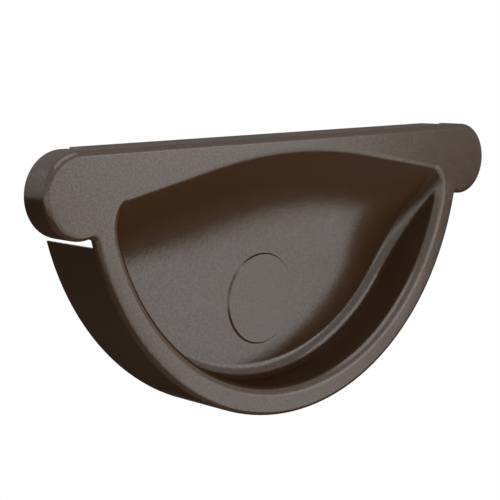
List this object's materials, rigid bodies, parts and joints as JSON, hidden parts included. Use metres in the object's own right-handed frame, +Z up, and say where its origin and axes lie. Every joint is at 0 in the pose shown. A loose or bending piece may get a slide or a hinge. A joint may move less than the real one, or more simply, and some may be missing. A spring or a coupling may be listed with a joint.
{
  "type": "gutter end cap",
  "caption": "End cap for a half-round rain gutter: a pressed steel panel with a stiffening recess, a round flange and bead collars.",
  "frame": {"origin": "centre of the gutter's round, on the outside of the front face", "axes": "+X across the gutter, +Y from the front face back along the gutter, +Z up"},
  "size_m": [0.149, 0.018, 0.0676],
  "materials": {
    "brown_coated_steel": "satin"
  },
  "bodies": {
    "root": {"end_cap": "brown_coated_steel"}
  },
  "joints": []
}
